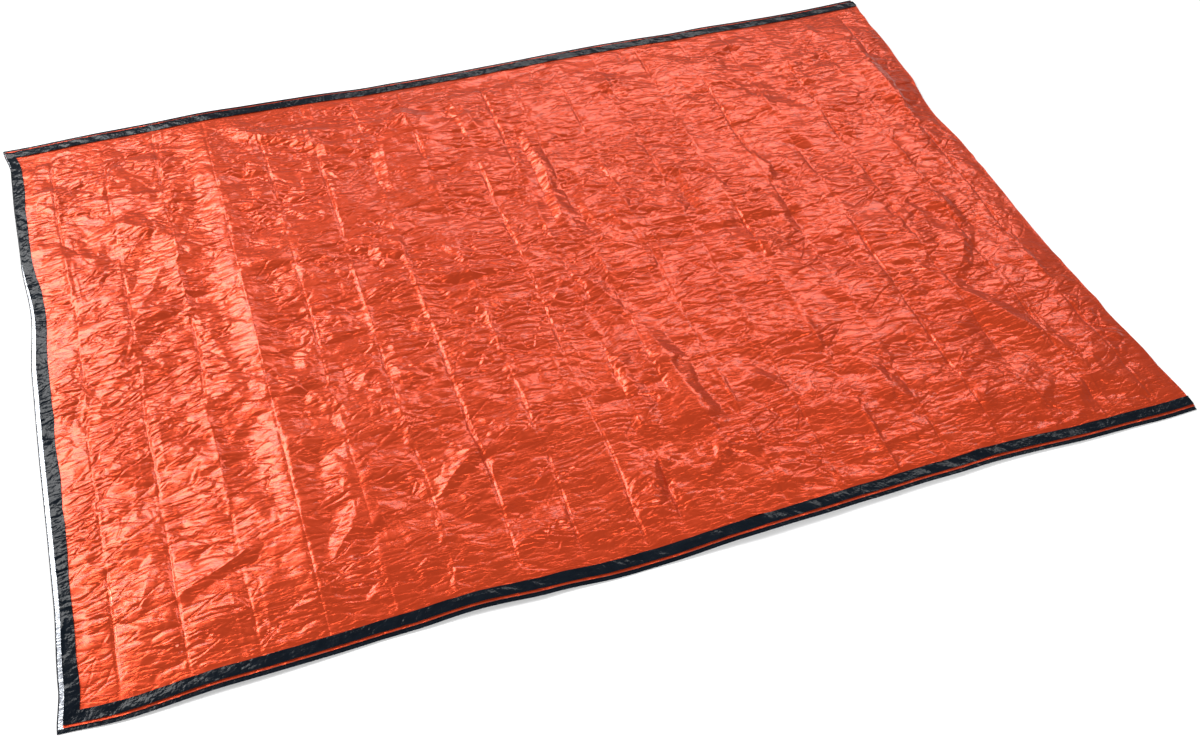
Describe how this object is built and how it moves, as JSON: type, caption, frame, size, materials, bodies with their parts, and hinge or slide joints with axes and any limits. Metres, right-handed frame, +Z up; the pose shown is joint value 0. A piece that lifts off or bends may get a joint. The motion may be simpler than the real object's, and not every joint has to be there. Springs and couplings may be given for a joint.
{
  "type": "bivy sack",
  "caption": "Two-person emergency bivy sack of thin metallised film, laid flat: a closed foot, taped side seams and an open banded mouth that lifts; both ends fold over the middle.",
  "frame": {"origin": "centre of the sack's plan, on the ground it lies on", "axes": "+X along the sack from the mouth to the closed foot, +Y across it to the far side, +Z up"},
  "size_m": [2.13, 1.48, 0.0186],
  "materials": {
    "orange_film": "satin metallised film, orange outside and silver inside",
    "black_tape": "glossy blue-black plastic tape"
  },
  "bodies": {
    "middle": {"middle_top_sheet": "orange_film", "middle_bottom_sheet": "orange_film", "middle_near_upper_tape": "black_tape", "middle_near_lower_tape": "black_tape", "middle_far_upper_tape": "black_tape", "middle_far_lower_tape": "black_tape"},
    "mouth_end": {"mouth_end_top_sheet": "orange_film", "mouth_end_bottom_sheet": "orange_film", "mouth_end_near_upper_tape": "black_tape", "mouth_end_near_lower_tape": "black_tape", "mouth_end_far_upper_tape": "black_tape", "mouth_end_far_lower_tape": "black_tape", "mouth_near_upper_band": "black_tape", "mouth_far_upper_band": "black_tape", "mouth_lower_band": "black_tape"},
    "foot_end": {"foot_end_top_sheet": "orange_film", "foot_end_bottom_sheet": "orange_film", "foot_end_near_upper_tape": "black_tape", "foot_end_near_lower_tape": "black_tape", "foot_end_far_upper_tape": "black_tape", "foot_end_far_lower_tape": "black_tape", "foot_fold": "orange_film"},
    "mouth_flap": {"mouth_flap": "orange_film", "mouth_flap_band": "black_tape"}
  },
  "joints": [
    {"name": "mouth_end_fold", "type": "hinge", "parent": "middle", "child": "mouth_end", "pos_m": [-0.518, 0, 0.0186], "axis": [0, 1, 0], "range_deg": [0, 150]},
    {"name": "foot_end_fold", "type": "hinge", "parent": "middle", "child": "foot_end", "pos_m": [0.542, 0, 0.0186], "axis": [0, -1, 0], "range_deg": [0, 165]},
    {"name": "mouth_lift", "type": "hinge", "parent": "mouth_end", "child": "mouth_flap", "pos_m": [-0.631, 0, 0.018], "axis": [0, 1, 0], "range_deg": [0, 30]}
  ]
}
